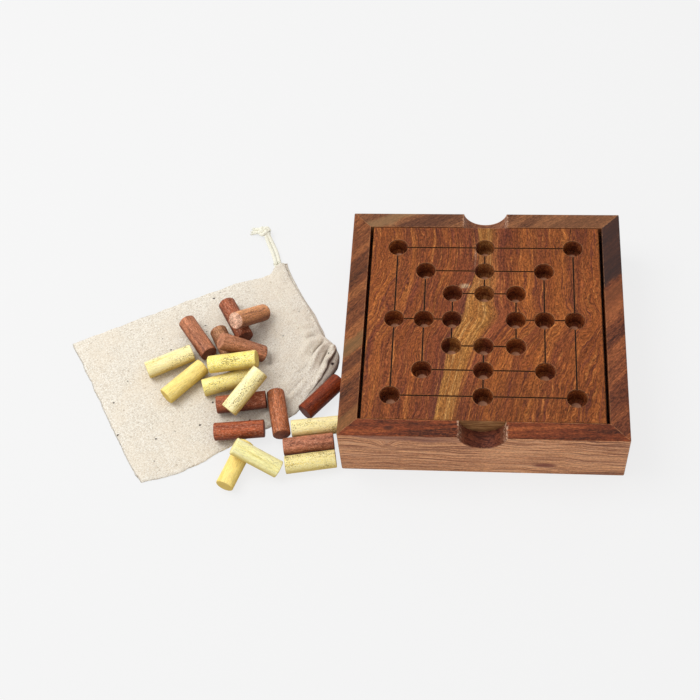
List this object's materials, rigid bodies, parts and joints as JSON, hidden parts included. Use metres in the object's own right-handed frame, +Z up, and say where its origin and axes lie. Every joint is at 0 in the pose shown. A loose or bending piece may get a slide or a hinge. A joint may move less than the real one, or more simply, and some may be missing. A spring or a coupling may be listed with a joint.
{
  "type": "nine men's morris set",
  "caption": "Mitred wooden box whose lift-out lid is a drilled nine men's morris board, with loose wooden pegs in two colours and a cotton drawstring bag.",
  "frame": {"origin": "centre of the box's underside, on the surface that it stands on", "axes": "+Z up, +X to the player's right, +Y away from the player; the bag and the loose pegs lie to the left"},
  "size_m": [0.2816, 0.166, 0.033],
  "materials": {
    "frame_wood": "satin oiled rosewood-like hardwood",
    "base_wood": "plain sanded wood",
    "ledge_wood": "plain sanded wood",
    "board_wood": "satin oiled streaky hardwood",
    "yellow_peg_wood": "matt dyed wood",
    "brown_peg_wood": "matt stained wood",
    "bag_cotton": "unbleached calico weave",
    "cotton_cord": "twisted cotton"
  },
  "bodies": {
    "root": {"front_rail": "frame_wood", "back_rail": "frame_wood", "left_rail": "frame_wood", "right_rail": "frame_wood", "base_panel": "base_wood", "front_ledge": "ledge_wood", "back_ledge": "ledge_wood", "left_ledge": "ledge_wood", "right_ledge": "ledge_wood"},
    "board": {"playing_board": "board_wood"},
    "bag": {"bag_body": "bag_cotton", "bag_hem": "bag_cotton", "drawstring_strand_1": "cotton_cord", "drawstring_strand_2": "cotton_cord", "drawstring_knot": "cotton_cord"},
    "yellow_1": {"yellow_peg_1": "yellow_peg_wood"},
    "yellow_2": {"yellow_peg_2": "yellow_peg_wood"},
    "yellow_3": {"yellow_peg_3": "yellow_peg_wood"},
    "yellow_4": {"yellow_peg_4": "yellow_peg_wood"},
    "yellow_5": {"yellow_peg_5": "yellow_peg_wood"},
    "yellow_6": {"yellow_peg_6": "yellow_peg_wood"},
    "yellow_7": {"yellow_peg_7": "yellow_peg_wood"},
    "yellow_8": {"yellow_peg_8": "yellow_peg_wood"},
    "yellow_9": {"yellow_peg_9": "yellow_peg_wood"},
    "brown_1": {"brown_peg_1": "brown_peg_wood"},
    "brown_2": {"brown_peg_2": "brown_peg_wood"},
    "brown_3": {"brown_peg_3": "brown_peg_wood"},
    "brown_4": {"brown_peg_4": "brown_peg_wood"},
    "brown_5": {"brown_peg_5": "brown_peg_wood"},
    "brown_6": {"brown_peg_6": "brown_peg_wood"},
    "brown_7": {"brown_peg_7": "brown_peg_wood"},
    "brown_8": {"brown_peg_8": "brown_peg_wood"},
    "brown_9": {"brown_peg_9": "brown_peg_wood"},
    "brown_10": {"brown_peg_10": "brown_peg_wood"}
  },
  "joints": [
    {"name": "board_lift", "type": "slide", "parent": "root", "child": "board", "axis": [0, 0, 1], "range_m": [0, 0.06]},
    {"name": "bag_lift", "type": "slide", "parent": "root", "child": "bag", "axis": [0, 0, 1], "range_m": [0, 0.06]},
    {"name": "brown_1_lift", "type": "slide", "parent": "bag", "child": "brown_1", "axis": [0, 0, 1], "range_m": [0, 0.06]},
    {"name": "brown_2_lift", "type": "slide", "parent": "bag", "child": "brown_2", "axis": [0, 0, 1], "range_m": [0, 0.06]},
    {"name": "brown_3_lift", "type": "slide", "parent": "brown_2", "child": "brown_3", "axis": [0, 0, 1], "range_m": [0, 0.06]},
    {"name": "brown_4_lift", "type": "slide", "parent": "bag", "child": "brown_4", "axis": [0, 0, 1], "range_m": [0, 0.06]},
    {"name": "brown_5_lift", "type": "slide", "parent": "brown_4", "child": "brown_5", "axis": [0, 0, 1], "range_m": [0, 0.06]},
    {"name": "brown_6_lift", "type": "slide", "parent": "bag", "child": "brown_6", "axis": [0, 0, 1], "range_m": [0, 0.06]},
    {"name": "brown_7_lift", "type": "slide", "parent": "bag", "child": "brown_7", "axis": [0, 0, 1], "range_m": [0, 0.06]},
    {"name": "brown_8_lift", "type": "slide", "parent": "bag", "child": "brown_8", "axis": [0, 0, 1], "range_m": [0, 0.06]},
    {"name": "brown_9_lift", "type": "slide", "parent": "root", "child": "brown_9", "axis": [0, 0, 1], "range_m": [0, 0.06]},
    {"name": "brown_10_lift", "type": "slide", "parent": "root", "child": "brown_10", "axis": [0, 0, 1], "range_m": [0, 0.06]},
    {"name": "yellow_1_lift", "type": "slide", "parent": "bag", "child": "yellow_1", "axis": [0, 0, 1], "range_m": [0, 0.06]},
    {"name": "yellow_2_lift", "type": "slide", "parent": "bag", "child": "yellow_2", "axis": [0, 0, 1], "range_m": [0, 0.06]},
    {"name": "yellow_3_lift", "type": "slide", "parent": "yellow_4", "child": "yellow_3", "axis": [0, 0, 1], "range_m": [0, 0.06]},
    {"name": "yellow_4_lift", "type": "slide", "parent": "brown_5", "child": "yellow_4", "axis": [0, 0, 1], "range_m": [0, 0.06]},
    {"name": "yellow_5_lift", "type": "slide", "parent": "brown_6", "child": "yellow_5", "axis": [0, 0, 1], "range_m": [0, 0.06]},
    {"name": "yellow_6_lift", "type": "slide", "parent": "root", "child": "yellow_6", "axis": [0, 0, 1], "range_m": [0, 0.06]},
    {"name": "yellow_7_lift", "type": "slide", "parent": "root", "child": "yellow_7", "axis": [0, 0, 1], "range_m": [0, 0.06]},
    {"name": "yellow_9_lift", "type": "slide", "parent": "root", "child": "yellow_9", "axis": [0, 0, 1], "range_m": [0, 0.06]},
    {"name": "yellow_8_lift", "type": "slide", "parent": "yellow_9", "child": "yellow_8", "axis": [0, 0, 1], "range_m": [0, 0.06]}
  ]
}
